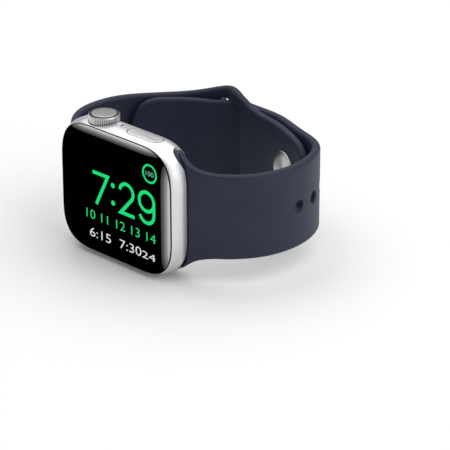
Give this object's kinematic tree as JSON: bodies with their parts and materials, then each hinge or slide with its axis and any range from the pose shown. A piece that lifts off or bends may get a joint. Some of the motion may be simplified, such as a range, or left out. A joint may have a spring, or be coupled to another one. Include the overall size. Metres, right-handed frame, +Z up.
{
  "type": "smartwatch",
  "caption": "Rounded-rectangle smartwatch with turning crown, side button, touch display and a fastened pin-and-tuck elastomer band, lying on its flank.",
  "frame": {"origin": "middle of the bounding box on the surface that the watch lies on", "axes": "+Z up, from the resting flank to the crown side; +X along the case from the 12 o'clock end to the 6 o'clock end; -Y is the way that the display faces"},
  "size_m": [0.067, 0.0506, 0.0361],
  "materials": {
    "aluminium": "satin blasted",
    "glass": "polished",
    "display": "gloss",
    "elastomer": "smooth matt moulding",
    "steel": "brushed",
    "ceramic": "polished",
    "crystal": "polished",
    "seal": "matt",
    "copper": "bare",
    "board": "solder mask",
    "module": "moulded",
    "cell": "foil pouch"
  },
  "bodies": {
    "case": {"case_body": "aluminium", "cover_glass": "glass", "display_panel": "display", "display_gasket": "seal", "back_cover": "ceramic", "sensor_crystal": "crystal", "electrode_ring": "steel", "sensor_board": "board", "charging_coil": "copper", "alignment_magnet": "steel", "battery": "cell", "main_board": "board", "haptic_housing": "steel", "crown_bushing": "steel", "crown_o_ring": "seal", "crown_switch": "copper", "crown_encoder": "module", "side_button_switch": "copper", "side_button_bracket": "steel", "bracket_screw_left": "steel", "bracket_screw_right": "steel", "microphone": "module", "microphone_mesh": "steel", "speaker": "module", "speaker_mesh": "steel"},
    "crown_stem": {"crown_thrust_plate": "steel"},
    "crown": {"crown_knob": "aluminium", "crown_cap": "steel", "crown_ring": "seal", "crown_shaft": "steel"},
    "side_button": {"side_button": "aluminium"},
    "haptic_mass": {"haptic_mass": "steel"},
    "release_button_six": {"release_button_six": "aluminium"},
    "release_button_twelve": {"release_button_twelve": "aluminium"},
    "band": {"strap_hole_side": "elastomer", "strap_pin_side": "elastomer", "pin_stud": "steel", "pin_plate": "steel"},
    "latch_six": {"latch_tab_six": "steel"},
    "latch_twelve": {"latch_tab_twelve": "steel"}
  },
  "joints": [
    {"name": "crown_press", "type": "slide", "parent": "case", "child": "crown_stem", "axis": [0, 0, -1], "range_m": [0, 0.0003], "stiffness_N_per_m": 1500, "springref_m": -0.0004},
    {"name": "crown_spin", "type": "hinge", "parent": "crown_stem", "child": "crown", "pos_m": [-0.00986, -0.01962, 0.0347], "axis": [0, 0, 1], "continuous": true},
    {"name": "side_button_press", "type": "slide", "parent": "case", "child": "side_button", "axis": [0, 0, -1], "range_m": [0, 0.0003], "stiffness_N_per_m": 1500, "springref_m": -0.0004},
    {"name": "release_six_press", "type": "slide", "parent": "case", "child": "release_button_six", "axis": [0, -1, 0], "range_m": [0, 0.00045], "stiffness_N_per_m": 800, "springref_m": -0.0003},
    {"name": "release_twelve_press", "type": "slide", "parent": "case", "child": "release_button_twelve", "axis": [0, -1, 0], "range_m": [0, 0.00045], "stiffness_N_per_m": 800, "springref_m": -0.0003},
    {"name": "band_slide_off", "type": "slide", "parent": "case", "child": "band", "axis": [0, 0, 1], "range_m": [0, 0.03]},
    {"name": "latch_six_sink", "type": "slide", "parent": "band", "child": "latch_six", "axis": [0, -1, 0], "range_m": [0, 0.00045]},
    {"name": "latch_twelve_sink", "type": "slide", "parent": "band", "child": "latch_twelve", "axis": [0, -1, 0], "range_m": [0, 0.00045]},
    {"name": "haptic_stroke", "type": "slide", "parent": "case", "child": "haptic_mass", "axis": [0, 0, 1], "range_m": [-0.0005, 0.0005], "stiffness_N_per_m": 400}
  ],
  "couplings": [
    {"joint": "latch_six_sink", "follows": "release_six_press", "ratio": 1},
    {"joint": "latch_twelve_sink", "follows": "release_twelve_press", "ratio": 1}
  ]
}
